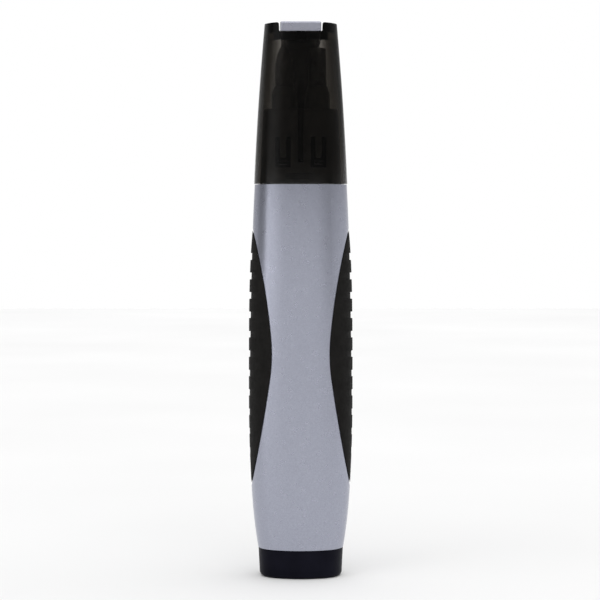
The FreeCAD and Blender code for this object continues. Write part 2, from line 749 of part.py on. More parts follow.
def tip_carrier():
    """Plate inside the nose block: four hooked legs catch in the windows, a tube guides the lamp's leads."""
    body = new_body("tip_carrier_body")
    fit = "nose_wall - 2 * running_gap"
    plate = oval_drawer(f"nose_top_half_width - {fit}", f"nose_top_half_depth - {fit}")
    pad_between(body, plate, "carrier_bottom", "carrier_top")
    for side in ("-", ""):
        middle = f"({side}window_offset)"
        for face in ("-", ""):
            inner, outer, tip = f"{face}leg_inner", f"{face}leg_outer", f"{face}hook_tip"
            leg_top = "carrier_bottom + 0.3"
            leg = [(inner, leg_top), (inner, "hook_top - 1"), (outer, "hook_top - 1"), (outer, leg_top)]
            sketch = polygon(new_sketch(body, "YZ", raised=f"{middle} - leg_half_width"), leg)
            pad(body, sketch, "2 * leg_half_width")
            hook = [
                (inner, "hook_bottom"),
                (tip, "hook_bottom"),
                (tip, "hook_top - 0.5"),
                (outer, "hook_top"),
                (inner, "hook_top"),
            ]
            sketch = polygon(new_sketch(body, "YZ", raised=f"{middle} - hook_half_width"), hook)
            pad(body, sketch, "2 * hook_half_width")
    guide = circle(new_sketch(body, "XY", raised="lead_guide_bottom"), "tip_offset", "0", "lead_guide_radius")
    pad(body, guide, "carrier_bottom - lead_guide_bottom + 0.2")
    hollow = circle(new_sketch(body, "XY", raised="lead_guide_bottom - 1"), "tip_offset", "0", "lead_guide_bore")
    pocket(body, hollow, "carrier_bottom - lead_guide_bottom + 1", Reversed=True)
    for side, radius in (("-", "tower_bore_radius"), ("", "tower_bore_radius - 0.3")):
        sketch = circle(new_sketch(body, "XY", raised="carrier_bottom - 0.2"), f"{side}tip_offset", "0", radius)
        pocket(body, sketch, "carrier_top - carrier_bottom + 0.6", Reversed=True)
    sub_part(body, "tip_carrier")


def ink_side():
    ferrule = [
        ("nib_radius + nib_fit", "cartridge_top - 3"),
        ("cartridge_radius - cartridge_wall", "cartridge_top - 3"),
        ("cartridge_radius - cartridge_wall", "cartridge_top"),
        ("cartridge_radius", "cartridge_top"),
        ("cartridge_radius", "cartridge_top + 1.15"),
        ("tower_bore_radius - 0.03", "cartridge_top + 1.15"),
        ("tower_bore_radius - 0.03", "ferrule_shoulder_level"),
        ("nib_radius + 0.35", "ferrule_top"),
        ("nib_radius + nib_fit", "ferrule_top"),
    ]
    sub_part(turned("nib_ferrule_body", ferrule, "-tip_offset"), "nib_ferrule")
    nib = [
        ("0", "nib_bottom"),
        ("nib_radius", "nib_bottom"),
        ("nib_radius", "nib_top - 1.9"),
        ("nib_radius - 0.12", "nib_top - 1.2"),
        ("nib_radius - 0.45", "nib_top - 0.45"),
        ("nib_radius - 0.85", "nib_top - 0.06"),
        ("0", "nib_top"),
    ]
    sub_part(turned("nib_body", nib, "-tip_offset"), "nib")
    inside = "(cartridge_radius - cartridge_wall)"
    tube = [
        (inside, "cartridge_bottom"),
        ("cartridge_radius", "cartridge_bottom"),
        ("cartridge_radius", "cartridge_top"),
        (inside, "cartridge_top"),
    ]
    sub_part(turned("cartridge_tube_body", tube, "-tip_offset"), "cartridge_tube")
    fibre = [
        ("0", "cartridge_bottom + 3"),
        (f"{inside} - 0.1", "cartridge_bottom + 3"),
        (f"{inside} - 0.1", "cartridge_top - 3.5"),
        ("nib_radius + nib_fit", "cartridge_top - 3.5"),
        ("nib_radius + nib_fit", "nib_bottom"),
        ("0", "nib_bottom"),
    ]
    sub_part(turned("ink_reservoir_body", fibre, "-tip_offset"), "ink_reservoir")
    plug = [
        ("0", "cartridge_bottom - 1.2"),
        ("cartridge_radius", "cartridge_bottom - 1.2"),
        ("cartridge_radius", "cartridge_bottom"),
        (inside, "cartridge_bottom"),
        (f"{inside} - 0.15", "cartridge_bottom + 2.9"),
        ("0", "cartridge_bottom + 2.9"),
    ]
    sub_part(turned("cartridge_plug_body", plug, "-tip_offset"), "cartridge_plug")


def lamp_side():
    seat = "tower_top_level + 0.05"
    tube = [
        ("lamp_tube_bore", "lamp_tube_bottom"),
        ("tower_bore_radius - 0.03", "lamp_tube_bottom"),
        ("tower_bore_radius - 0.03", seat),
        ("lamp_tube_radius - 0.15", seat),
        ("lamp_tube_radius", f"{seat} + 0.15"),
        ("lamp_tube_radius", "lamp_tube_top - 0.15"),
        ("lamp_tube_radius - 0.15", "lamp_tube_top"),
        ("lamp_seat_radius", "lamp_tube_top"),
        ("lamp_seat_radius", "led_flange_level - 0.1"),
        ("lamp_tube_bore", "led_flange_level - 0.1"),
    ]
    sub_part(turned("lamp_tube_body", tube, "tip_offset"), "lamp_tube")
    lens = [
        ("0", "lamp_tube_top - 1.3"),
        ("lamp_seat_radius - 0.02", "lamp_tube_top - 1.3"),
        ("lamp_seat_radius - 0.02", "lamp_tube_top - 0.35"),
        ("lamp_seat_radius - 0.22", "lamp_tube_top - 0.2"),
        ("0", "lamp_tube_top - 0.12"),
    ]
    sub_part(turned("lamp_lens_body", lens, "tip_offset"), "lamp_lens")
    led = [
        ("0", "led_flange_level"),
        ("led_flange_radius", "led_flange_level"),
        ("led_flange_radius", "led_flange_level + 0.9"),
        ("led_radius", "led_flange_level + 0.9"),
        ("led_radius", "led_flange_level + 3.6"),
        ("0.88 * led_radius", "led_flange_level + 4.35"),
        ("0.57 * led_radius", "led_flange_level + 4.88"),
        ("0", "led_flange_level + 5.1"),
    ]
    sub_part(turned("uv_led_body", led, "tip_offset"), "uv_led")


def inner_seal_cap():
    """Cup in the cap that closes over the nib, with a pointed crown and a stem pressed into the cap."""
    outline = [
        ("seal_cup_bore", "tower_top_level + 0.1"),
        ("seal_cup_radius - 0.18", "tower_top_level + 0.1"),
        ("seal_cup_radius", "tower_top_level + 0.45"),
        ("seal_cup_radius", "seal_shoulder_level"),
        ("0.92 * seal_cup_radius", "seal_shoulder_level + 1.4"),
        ("0.72 * seal_cup_radius", "seal_shoulder_level + 3"),
        ("0.46 * seal_cup_radius", "seal_point_level - 0.5"),
        ("seal_stem_radius", "seal_point_level"),
        ("seal_stem_radius", "seal_stem_top"),
        ("0", "seal_stem_top"),
        ("0", "nib_top + 1"),
        ("1.3", "nib_top + 0.4"),
        ("seal_cup_bore", "seal_shoulder_level + 0.4"),
    ]
    sub_part(turned("inner_seal_cap_body", outline, "-tip_offset"), "inner_seal_cap")


# ---------------------------------------------------------------- cap and clip


def cap_shell():
    body = new_body("cap_shell_body")
    sections = stations(("cap_rim", "cap_mid", "cap_end"))
    loft(body, "AdditiveLoft", sections)
    # The top is trimmed to a low crown.
    sketch = new_sketch(body, "XZ")
    radius, top = number("cap_crown_radius"), number("cap_crown_level")
    half = number("cap_crown_half_width")
    turn = math.asin(half / radius)
    crown = arc_of((0, top - radius), radius, math.pi / 2 - turn, math.pi / 2 + turn)
    high = top + 8
    right, left = Vector(half, high, 0), Vector(-half, high, 0)
    sketch.addGeometry(
        [
            crown,
            Part.LineSegment(crown.EndPoint, left),
            Part.LineSegment(left, right),
            Part.LineSegment(right, crown.StartPoint),
        ],
        False,
    )
    for i in range(4):
        sketch.addConstraint(Sketcher.Constraint("Coincident", i, 2, (i + 1) % 4, 1))
    for i in (1, 3):
        sketch.addConstraint(Sketcher.Constraint("Vertical", i))
    sketch.addConstraint(Sketcher.Constraint("Horizontal", 2))
    place_point(sketch, 0, 3, "0", "cap_crown_level - cap_crown_radius")
    dimension(sketch, "Radius", (0,), "cap_crown_radius")
    dimension(sketch, "DistanceX", (-1, 1, 0, 1), "cap_crown_half_width")
    dimension(sketch, "DistanceX", (-1, 1, 0, 2), "-cap_crown_half_width")
    dimension(sketch, "DistanceY", (-1, 1, 2, 1), "cap_crown_level + 8")
    pocket(body, sketch, THROUGH, SideType="Symmetric")
    # Cavity up to the ceiling under the notch, and a deeper pocket in each ear.
    inner = [("cap_rim_level - 0.5",) + sections[0][1:], sections[1]]
    inner.append(("cap_mid_ceiling", "cap_end_half_width + 0.35", "cap_end_half_depth + 0.26"))
    loft(body, "SubtractiveLoft", inner, "cap_wall")
    side_arc = "side_round * (cap_end_half_depth + 0.19)"
    for side in ("-", ""):
        sketch = new_sketch(body, "XY", raised="cap_mid_ceiling - 0.5")
        ear_pocket(sketch, side, f"cap_end_half_width + 0.26 - {side_arc}", f"{side_arc} - cap_wall")
        pocket(body, sketch, "cap_ear_ceiling - cap_mid_ceiling + 0.5", Reversed=True)
    sketch = new_sketch(body, "XZ")
    rectangle(sketch, "-notch_half_width", "notch_floor", "notch_half_width", "cap_crown_level + 3")
    pocket(body, sketch, THROUGH, SideType="Symmetric")
    # Corners of the two ears, and of the notch between them.
    floor, ceiling = number("notch_floor"), number("cap_crown_level")
    wall = number("notch_half_width")

    def ear_corner(edge):
        span = edge.BoundBox
        level = span.ZMax < ceiling + 0.1 and span.ZMin > floor + 1 and span.ZLength < 0.05
        return level and span.XLength < 0.01 and abs(abs(span.XMin) - wall) < 0.01

    round_edges(body, 0.55, ear_corner)
    round_edges(body, 0.35, lambda e: lies_at(e, z=floor) and e.BoundBox.XLength < 0.01)
    # Two slots for the clip's lugs, and a blind hole for the seal cap's stem.
    for side in ("-", ""):
        sketch = new_sketch(body, "XY", raised="cap_mid_ceiling - 0.5")
        near, far = f"{side}(clip_lug_inner - lug_fit)", f"{side}(clip_lug_outer + lug_fit)"
        left, right = (far, near) if side else (near, far)
        front, back = lug_depths("lug_fit")
        rectangle(sketch, left, front, right, back)
        pocket(body, sketch, "4", Reversed=True)
    hole = new_sketch(body, "XY", raised="cap_mid_ceiling - 0.5")
    circle(hole, "-tip_offset", "0", "seal_stem_radius + 0.03")
    pocket(body, hole, "seal_stem_top - cap_mid_ceiling + 0.55", Reversed=True)
    # Guide rib and snap bead on the inside of the front wall.
    rib = [("-7.4", "111.5"), ("-6.05", "112.6"), ("-6.05", "133"), ("-6.5", "133")]
    pad(body, polygon(new_sketch(body, "YZ"), rib), "2 * guide_rib_half_width", SideType="Symmetric")
    sketch = new_sketch(body, "XZ", raised="bead_rise")
    ends = [(f"{s}(detent_half_length - detent_radius - 0.3)", "detent_level") for s in ("-", "")]
    slot(sketch, *ends, "detent_radius - 0.25")
    pad(body, sketch, "0.75")
    sub_part(body, "cap_shell")


def ear_pocket(sketch, side, centre, radius):
    """A segment of a circle beyond the notch's wall, on the side that the sign gives."""
    chord = "(notch_half_width + ear_wall)"
    reach, r = number(centre), number(radius)
    half_turn = math.acos((number(chord) - reach) / r)
    across = 1 if side == "" else -1
    middle = 0 if side == "" else math.pi
    arc = arc_of((across * reach, 0), r, middle - half_turn, middle + half_turn)
    sketch.addGeometry([arc, Part.LineSegment(arc.EndPoint, arc.StartPoint)], False)
    for g in (0, 1):
        sketch.addConstraint(Sketcher.Constraint("Coincident", g, 2, 1 - g, 1))
    sketch.addConstraint(Sketcher.Constraint("Vertical", 1))
    place_point(sketch, 0, 3, f"{side}({centre})", "0")
    dimension(sketch, "Radius", (0,), radius)
    dimension(sketch, "DistanceX", (-1, 1, 0, 1), f"{side}{chord}")
    return sketch


def lug_depths(gap="0"):
    """Front and back of the clip's lugs, with a gap round them."""
    half = f"(clip_lug_half_depth + {gap})"
    return f"clip_lug_middle - {half}", f"clip_lug_middle + {half}"


def clip_bridge():
    body = new_body("clip_bridge_body")
    sketch = new_sketch(body, "XZ", raised="-clip_pivot_back + 0.9")
    rectangle(sketch, "-clip_half_width", "notch_floor + 0.03", "clip_half_width", "clip_top")
    pad(body, sketch, "clip_front + clip_pivot_back - 0.9")
    top, front = number("clip_top"), -number("clip_front")

    def rounded(edge):
        along_top = lies_at(edge, z=top) and edge.BoundBox.YMin < 0
        upright = lies_at(edge, y=front) and edge.BoundBox.XLength < 0.01
        return along_top or upright

    round_edges(body, 0.45, rounded)
    for side in ("-", ""):
        sketch = new_sketch(body, "XY", raised="cap_mid_ceiling + 0.1")
        near, far = f"{side}clip_lug_inner", f"{side}clip_lug_outer"
        left, right = (far, near) if side else (near, far)
        rectangle(sketch, left, lug_depths()[0], right, lug_depths()[1])
        pad(body, sketch, "notch_floor - cap_mid_ceiling + 0.3")
    sketch = circle(new_sketch(body, "YZ"), "clip_pivot_back", "clip_pivot_level", "clip_knuckle_radius + 0.07")
    pocket(body, sketch, THROUGH, SideType="Symmetric")
    sub_part(body, "clip_bridge")


def clip_arm():
    """The springy arm behind the cap. It is turned about the round knuckle at its upper end."""
    body = new_body("clip_arm_body")
    side = [
        ("clip_pivot_back + clip_knuckle_radius", "clip_pivot_level"),
        ("clip_pivot_back", "clip_pivot_level"),
        ("clip_pivot_back - 0.35", "clip_pivot_level - 1.3"),
        ("clip_tip_back + 0.8", "clip_end_level + 7.5"),
        ("clip_tip_back", "clip_end_level + 4.4"),
        ("clip_tip_back", "clip_end_level + 2.6"),
        ("clip_tip_back + 1", "clip_end_level"),
        ("clip_reach - 0.55", "clip_end_level"),
        ("clip_reach", "clip_end_level + 1.2"),
    ]
    pad(body, polygon(new_sketch(body, "YZ"), side), "2 * clip_half_width", SideType="Symmetric")
    knuckle = circle(new_sketch(body, "YZ"), "clip_pivot_back", "clip_pivot_level", "clip_knuckle_radius")
    pad(body, knuckle, "2 * clip_half_width", SideType="Symmetric")
    for sign in ("-", ""):
        trim = [
            (f"{sign}(clip_half_width + 2.5)", "cap_mid_ceiling"),
            (f"{sign}clip_half_width", "cap_mid_ceiling"),
            (f"{sign}(clip_stem_half_width + 0.9)", "cap_mid_ceiling - 1.3"),
            (f"{sign}clip_stem_half_width", "cap_mid_ceiling - 3.4"),
            (f"{sign}clip_end_half_width", "clip_end_level + 3"),
            (f"{sign}(clip_end_half_width - 0.9)", "clip_end_level + 0.9"),
            (f"{sign}(clip_end_half_width - 2.2)", "clip_end_level - 0.1"),
            (f"{sign}(clip_half_width + 2.5)", "clip_end_level - 0.1"),
        ]
        sketch = polygon(new_sketch(body, "XZ"), trim)
        pocket(body, sketch, THROUGH, SideType="Symmetric")
    sub_part(body, "clip_arm")


# ---------------------------------------------------------------- end plug


def end_plug():
    body = new_body("end_plug_body")
    foot = ("plug_foot_half_width", "plug_foot_half_depth")
    top = ("base_level", "plug_top_half_width", "plug_top_half_depth")
    loft(body, "AdditiveLoft", [("plug_foot_round",) + foot, top])
    # The foot is rounded over a quarter circle.
    rounded = []
    for turn in (0, 25, 50, 70, 90):
        level = f"(plug_foot_round * (1 - cos({turn} deg)))"
        rounded.append((level,) + foot + (f"(plug_foot_round * (1 - sin({turn} deg)))",))
    loft(body, "AdditiveLoft", rounded)
    pad_between(body, oval_drawer("skirt_half_width", "skirt_half_depth"), "base_level", "skirt_top")
    hollow = oval_drawer("skirt_half_width - skirt_wall", "skirt_half_depth - skirt_wall")
    pocket_between(body, hollow, "plug_floor", "skirt_top + 1")
    # The plug stands on a flat rim round a shallow recess.
    recess = oval_drawer("foot_recess_half_width", "foot_recess_half_depth")
    pocket_between(body, recess, "-1", "foot_recess_depth")

    def boss(sketch):
        circle(sketch, "0", "0", "spring_boss_radius")
        return circle(sketch, "0", "0", "spring_boss_bore")

    def pin(sketch):
        return circle(sketch, "0", "0", "spring_pin_radius")

    pad_between(body, boss, "plug_floor - 0.2", "spring_boss_top")
    pad_between(body, pin, "plug_floor - 0.2", "spring_pin_top")
    sub_part(body, "end_plug")


def plug_contact():
    """Spring plate in the plug, with a tab that touches the strip in the barrel."""
    body = new_body("plug_contact_body")

    def outline(sketch):
        side = "spring_plate_half_width"
        rectangle(sketch, "-spring_boss_radius - 0.4", f"-{side}", "plug_tab_outer", side)
        return circle(sketch, "0", "0", "spring_pin_radius + 0.1")

    def tab(sketch):
        side = "strip_half_width"
        return rectangle(sketch, "plug_tab_inner", f"-{side}", "plug_tab_outer", side)

    pad_between(body, outline, "spring_plate_level", "spring_plate_level + spring_plate_thickness")
    pad_between(body, tab, "spring_plate_level + 0.18", "holder_bottom + 0.5")
    sub_part(body, "spring_plate")


def contact_spring():
    body = new_body("contact_spring_body")
    start = "spring_plate_level + spring_plate_thickness + coil_wire_radius + 0.03"
    sketch = circle(new_sketch(body, "XZ"), "coil_radius", start, "coil_wire_radius")
    coil = feature(body, "AdditiveHelix", sketch, ReferenceAxis=(sketch, ["V_Axis"]))
    coil.Mode = 0
    drive(coil, "Pitch", "coil_pitch")
    drive(coil, "Height", "coil_pitch * coil_turns")
    doc.recompute()
    sub_part(body, "contact_spring")


# ---------------------------------------------------------------- battery and electrics


def battery_cells():
    for i in range(int(number("cell_count"))):
        low = f"(cell_bottom + {i} * cell_height)"
        outline = [
            ("0", low),
            ("cell_radius - 1.1", low),
            ("cell_radius - 0.85", f"{low} + 0.15"),
            ("cell_radius - 0.75", f"{low} + 0.75"),
            ("cell_radius - 0.25", f"{low} + 0.85"),
            ("cell_radius", f"{low} + 1.15"),
            ("cell_radius", f"{low} + cell_height - 0.25"),
            ("cell_radius - 0.25", f"{low} + cell_height"),
            ("0", f"{low} + cell_height"),
        ]
        sub_part(turned(f"cell_body_{i + 1}", outline), f"battery_cell_{i + 1}")


def chassis():
    """Battery holder, bulkhead, cartridge cup and the two rails that hold the circuit board."""
    body = new_body("chassis_body")

    def ring(sketch):
        return circle(sketch, "0", "0", "holder_radius")

    pad_between(body, ring, "holder_bottom", "bulkhead_level + 0.2")
    plate = oval_drawer("low_half_width - shell_wall - 0.1", "low_half_depth - shell_wall - 0.1")
    pad_between(body, plate, "bulkhead_level", "bulkhead_top")
    bore = circle(new_sketch(body, "XY", raised="holder_bottom - 1"), "0", "0", "holder_bore_radius")
    pocket(body, bore, "bulkhead_level - holder_bottom + 1", Reversed=True)
    cup = new_sketch(body, "XY", raised="bulkhead_top - 0.2")
    pad(body, circle(cup, "-tip_offset", "0", "cartridge_radius + 0.65"), "8")
    hollow = new_sketch(body, "XY", raised="bulkhead_top")
    circle(hollow, "-tip_offset", "0", "cartridge_radius + running_gap")
    pocket(body, hollow, "12", Reversed=True)
    for s in ("-", ""):
        sketch = new_sketch(body, "XY", raised="bulkhead_top - 0.2")
        rail = [
            (f"{s}rail_outer", "board_front - 0.5"),
            (f"{s}rail_outer", "board_back + 0.6"),
            (f"{s}rail_lip", "board_back + 0.6"),
            (f"{s}rail_lip", "board_back + 0.02"),
            (f"{s}(board_half_width + 0.02)", "board_back + 0.02"),
            (f"{s}(board_half_width + 0.02)", "board_front - 0.02"),
            (f"{s}rail_lip", "board_front - 0.02"),
            (f"{s}rail_lip", "board_front - 0.5"),
        ]
        pad(body, polygon(sketch, rail), "rail_top - bulkhead_top + 0.2")
    tie = new_sketch(body, "XY", raised="rail_top - 1.8")
    rectangle(tie, "-5", "board_back + 0.02", "5", "board_back + 0.6")
    pad(body, tie, "1.8")
    # Slots in the bulkhead for the two contacts.
    for left, right in (("1.9", "4.1"), ("strip_inner - 0.05", "strip_outer + 0.05")):
        slit = new_sketch(body, "XY", raised="bulkhead_level - 1")
        rectangle(slit, left, "-strip_half_width - 0.1", right, "strip_half_width + 0.1")
        pocket(body, slit, "4", Reversed=True)
    sub_part(body, "chassis")


def contacts():
    plate = new_body("positive_contact_body")

    def disc(sketch):
        return circle(sketch, "0", "0", "contact_disc_radius")

    pad_between(plate, disc, "bulkhead_level - 0.55", "bulkhead_level - 0.25")
    tab = new_sketch(plate, "XY", raised="bulkhead_level - 0.3")
    rectangle(tab, "2.0", "-0.15", "4.0", "0.15")
    pad(plate, tab, "3.8")
    sub_part(plate, "positive_contact")
    strip = new_body("negative_contact_body")
    sketch = new_sketch(strip, "XY", raised="holder_bottom - 1")
    rectangle(sketch, "strip_inner", "-strip_half_width", "strip_outer", "strip_half_width")
    pad(strip, sketch, "25")
    sub_part(strip, "negative_contact")


def round_wire(name, points, radius, bend):
    """A round wire along straight runs joined by tangent arcs of one bend radius."""
    places = [Vector(*p) for p in points]
    edges = []
    start = places[0]
    for before, corner, after in zip(places, places[1:], places[2:]):
        into, out = (corner - before).normalize(), (after - corner).normalize()
        half_turn = into.getAngle(out) / 2
        back = bend * math.tan(half_turn)
        arc_start, arc_end = corner - into * back, corner + out * back
        bisector = (out - into).normalize()
        middle = corner + bisector * (bend / math.cos(half_turn) - bend)
        edges.append(Part.LineSegment(start, arc_start).toShape())
        edges.append(Part.Arc(arc_start, middle, arc_end).toShape())
        start = arc_end
    edges.append(Part.LineSegment(start, places[-1]).toShape())
    path = Part.Wire(edges)
    heading = places[1] - places[0]
    section = Part.Wire([Part.makeCircle(radius, places[0], heading)])
    solid = path.makePipeShell([section], True, True)
    if abs(solid.Volume / (math.pi * radius**2 * path.Length) - 1) > 0.01:
        raise RuntimeError(f"the wire {name} is not a clean tube")
    return solid


def wires():
    """Soft wires from the contacts to the board, and the lamp's two leads."""
    front, bend = number("board_front"), number("wire_bend")
    behind = front - number("wire_radius") - 0.02
    runs = {
        "red_wire": [(3, 0.6, 34.6), (3, 0.6, 45), (1.6, behind, 56), (1.6, behind, 63)],
        "black_wire": [(7.38, 0, 34.6), (7.38, 0, 44), (3.6, behind, 56), (3.6, behind, 63)],
    }
    for name, points in runs.items():
        wire = doc.addObject("Part::Feature", name + "_solid")
        wire.Shape = round_wire(name, points, number("wire_radius"), bend)
        sub_part(wire, name)
    lamp, low = number("tip_offset"), front - number("lead_radius") - 0.03
    top = number("led_flange_level") - 0.02
    for i, shift in enumerate((-0.64, 0.64), 1):
        across = lamp + shift - 1.3
        points = [(lamp + shift, 0, top), (lamp + shift, 0, 112), (across, low, 98), (across, low, 88)]
        lead = doc.addObject("Part::Feature", f"led_lead_solid_{i}")
        lead.Shape = round_wire("led_lead", points, number("lead_radius"), bend)
        sub_part(lead, f"led_lead_{i}")


def circuit_board():
    board = box(
        "circuit_board_solid",
        ("-board_half_width", "board_front", "board_bottom"),
        ("board_half_width", "board_back", "board_top"),
    )
    sub_part(board, "circuit_board")
    resistor = new_body("resistor_body")
    sketch = new_sketch(resistor, "XZ", raised="-board_back - 0.6")
    pad(resistor, rectangle(sketch, "-1.6", "71.8", "1.6", "73.4"), "0.6")
    round_edges(resistor, 0.15, lambda e: e.BoundBox.YLength < 0.01 and e.BoundBox.YMin > 5.85)
    sub_part(resistor, "resistor")
    housing = new_body("switch_housing_body")
    sketch = new_sketch(housing, "XZ", raised="-board_back - switch_height")
    half = "switch_half_size"
    rectangle(sketch, f"-{half}", f"button_level - {half}", half, f"button_level + {half}")
    pad(housing, sketch, "switch_height")
    height = number("switch_height")
    round_edges(housing, 0.5, lambda e: abs(e.BoundBox.YLength - height) < 0.01)
    well = new_sketch(housing, "XZ", raised="-board_back - switch_height - 0.1")
    circle(well, "0", "button_level", "plunger_radius + 0.1")
    pocket(housing, well, "switch_height - 0.1", Reversed=True)
    sub_part(housing, "switch_housing")
    plunger = new_body("switch_plunger_body")
    sketch = new_sketch(plunger, "XZ", raised="-button_flange_inner + 0.02")
    circle(sketch, "0", "button_level", "plunger_radius")
    pad(plunger, sketch, "0.52")
    sub_part(plunger, "switch_plunger")


def button_outline(sketch, grown="0"):
    reach = "(button_half_height - button_half_width)"
    ends = [("0", f"button_level {sign} {reach}") for sign in ("-", "+")]
    return slot(sketch, *ends, f"button_half_width + {grown}")


def thumb_button():
    body = new_body("thumb_button_body")
    sketch = button_outline(new_sketch(body, "XZ", raised="-button_flange_outer"), "0.7")
    pad(body, sketch, "button_flange_outer - button_flange_inner")
    sketch = button_outline(new_sketch(body, "XZ", raised="-button_face"))
    pad(body, sketch, "button_face - button_flange_outer + 0.2")
    face = number("button_face")
    round_edges(body, 0.4, lambda e: lies_at(e, y=face))
    sub_part(body, "thumb_button")


# ---------------------------------------------------------------- the whole pen


def check_document():
    for obj in doc.Objects:
        if "Invalid" in obj.State or "Error" in obj.State:
            raise RuntimeError(f"{obj.Name} failed: {obj.State}")
    for obj in SUB_PARTS:
        shape = obj.Shape
        if shape.isNull() or not shape.isValid() or not shape.Solids:
            raise RuntimeError(f"{obj.Label} has no valid solid")


def export_parts():
    os.makedirs("parts", exist_ok=True)
    for obj in SUB_PARTS:
        obj.Shape.exportStep(f"parts/{obj.Label}.step")
        solids = len(obj.Shape.Solids)
        print(f"{obj.Label}: {solids} solid(s), {obj.Shape.Volume:.1f} mm3")


fill_sheet()
barrel_and_grips()
nose_block()
tip_carrier()
ink_side()
lamp_side()
inner_seal_cap()
cap_shell()
clip_bridge()
clip_arm()
end_plug()
plug_contact()
contact_spring()
battery_cells()
chassis()
contacts()
wires()
circuit_board()
thumb_button()
doc.recompute()
check_document()
export_parts()
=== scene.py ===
import json
import math

import bpy
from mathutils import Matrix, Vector


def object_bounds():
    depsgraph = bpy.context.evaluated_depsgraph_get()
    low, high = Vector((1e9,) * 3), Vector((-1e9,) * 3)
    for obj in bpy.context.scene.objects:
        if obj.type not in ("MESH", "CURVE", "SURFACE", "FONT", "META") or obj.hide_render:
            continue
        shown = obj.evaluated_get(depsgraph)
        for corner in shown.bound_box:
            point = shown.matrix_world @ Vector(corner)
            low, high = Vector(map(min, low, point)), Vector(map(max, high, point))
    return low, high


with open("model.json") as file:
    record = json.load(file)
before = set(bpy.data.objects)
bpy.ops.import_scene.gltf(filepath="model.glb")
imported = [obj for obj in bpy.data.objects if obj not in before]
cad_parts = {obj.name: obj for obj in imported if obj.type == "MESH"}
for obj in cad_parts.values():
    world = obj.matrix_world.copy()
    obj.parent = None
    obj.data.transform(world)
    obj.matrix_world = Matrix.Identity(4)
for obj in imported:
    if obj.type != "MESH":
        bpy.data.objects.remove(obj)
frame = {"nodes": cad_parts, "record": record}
cad_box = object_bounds()
nodes = frame["nodes"]

# Sizes in metres, in the frame of the CAD model: +Z up, front face towards -Y.
MM = 0.001
PEN_HEIGHT = cad_box[1].z - cad_box[0].z

# The camera stands in front of the pen, a little above its middle, and looks a hair to the left of it.
CAMERA_DISTANCE = 500 * MM
CAMERA_HEIGHT = 96.6 * MM
CAMERA_ASIDE = -0.2 * MM
CAMERA_AIM = PEN_HEIGHT / 2 + 0.2 * MM
CAMERA_LENS = 111
FLOOR_REACH = 1.5


# ---------------------------------------------------------------- materials


class Shader:
    """A material with a Principled BSDF, and short ways to add nodes to it. Sizes are in metres."""

    def __init__(self, name, color, roughness, **sockets):
        self.material = bpy.data.materials.new(name)
        self.material.use_nodes = True
        self.tree = self.material.node_tree
        self.surface = self.tree.nodes["Principled BSDF"]
        self.surface.inputs["Base Color"].default_value = (*color, 1)
        self.surface.inputs["Roughness"].default_value = roughness
        for socket, value in sockets.items():
            self.surface.inputs[socket.replace("_", " ")].default_value = value
        self.place = self.add("ShaderNodeTexCoord").outputs["Object"]
        self.normal = None

    def soften(self, radius):
        """Catches light along sharp edges, as a moulded edge of that radius does. Comes before any bump."""
        edge = self.add("ShaderNodeBevel")
        edge.samples = 8
        edge.inputs["Radius"].default_value = radius
        self.normal = edge.outputs["Normal"]
        self.link(self.normal, self.surface.inputs["Normal"])

    def add(self, kind, **settings):
        node = self.tree.nodes.new(kind)
        for key, value in settings.items():
            setattr(node, key, value)
        return node

    def link(self, source, target):
        self.tree.links.new(source, target)

    def noise(self, size, detail=2.0, roughness=0.5, stretch=(1, 1, 1)):
        """Noise whose features are about size across; stretch lengthens them along each axis."""
        mapping = self.add("ShaderNodeMapping")
        mapping.inputs["Scale"].default_value = [1 / (size * s) for s in stretch]
        self.link(self.place, mapping.inputs["Vector"])
        noise = self.add("ShaderNodeTexNoise")
        noise.inputs["Scale"].default_value = 1.0
        noise.inputs["Detail"].default_value = detail
        noise.inputs["Roughness"].default_value = roughness
        self.link(mapping.outputs["Vector"], noise.inputs["Vector"])
        return noise.outputs["Fac"]

    def cells(self, size):
        """A random colour for each of many small cells, size across."""
        mapping = self.add("ShaderNodeMapping")
        mapping.inputs["Scale"].default_value = [1 / size] * 3
        self.link(self.place, mapping.inputs["Vector"])
        cells = self.add("ShaderNodeTexVoronoi", feature="F1")
        cells.inputs["Scale"].default_value = 1.0
        self.link(mapping.outputs["Vector"], cells.inputs["Vector"])
        return cells.outputs["Color"]

    def ramp(self, value, low, high, low_color, high_color):
        ramp = self.add("ShaderNodeValToRGB")
        ramp.color_ramp.elements[0].position = low
        ramp.color_ramp.elements[1].position = high
        ramp.color_ramp.elements[0].color = (*low_color, 1)
        ramp.color_ramp.elements[1].color = (*high_color, 1)
        self.link(value, ramp.inputs["Fac"])
        return ramp.outputs["Color"]

    def color(self, value, low_color, high_color, low=0.3, high=0.7):
        self.link(self.ramp(value, low, high, low_color, high_color), self.surface.inputs["Base Color"])

    def vary(self, socket, value, low, high):
        """Drives a socket of the surface from low to high with a noise's value."""
        spread = self.add("ShaderNodeMapRange")
        spread.inputs["From Min"].default_value = 0.3
        spread.inputs["From Max"].default_value = 0.7
        spread.inputs["To Min"].default_value = low
        spread.inputs["To Max"].default_value = high
        self.link(value, spread.inputs["Value"])
        self.link(spread.outputs["Result"], self.surface.inputs[socket])

    def bump(self, height, depth, strength=1.0):
        """Adds relief about depth deep to the surface, on top of any added before."""
        bump = self.add("ShaderNodeBump")
        bump.inputs["Strength"].default_value = strength
        bump.inputs["Distance"].default_value = depth
        self.link(height, bump.inputs["Height"])
        if self.normal is not None:
            self.link(self.normal, bump.inputs["Normal"])
        self.normal = bump.outputs["Normal"]
        self.link(self.normal, self.surface.inputs["Normal"])


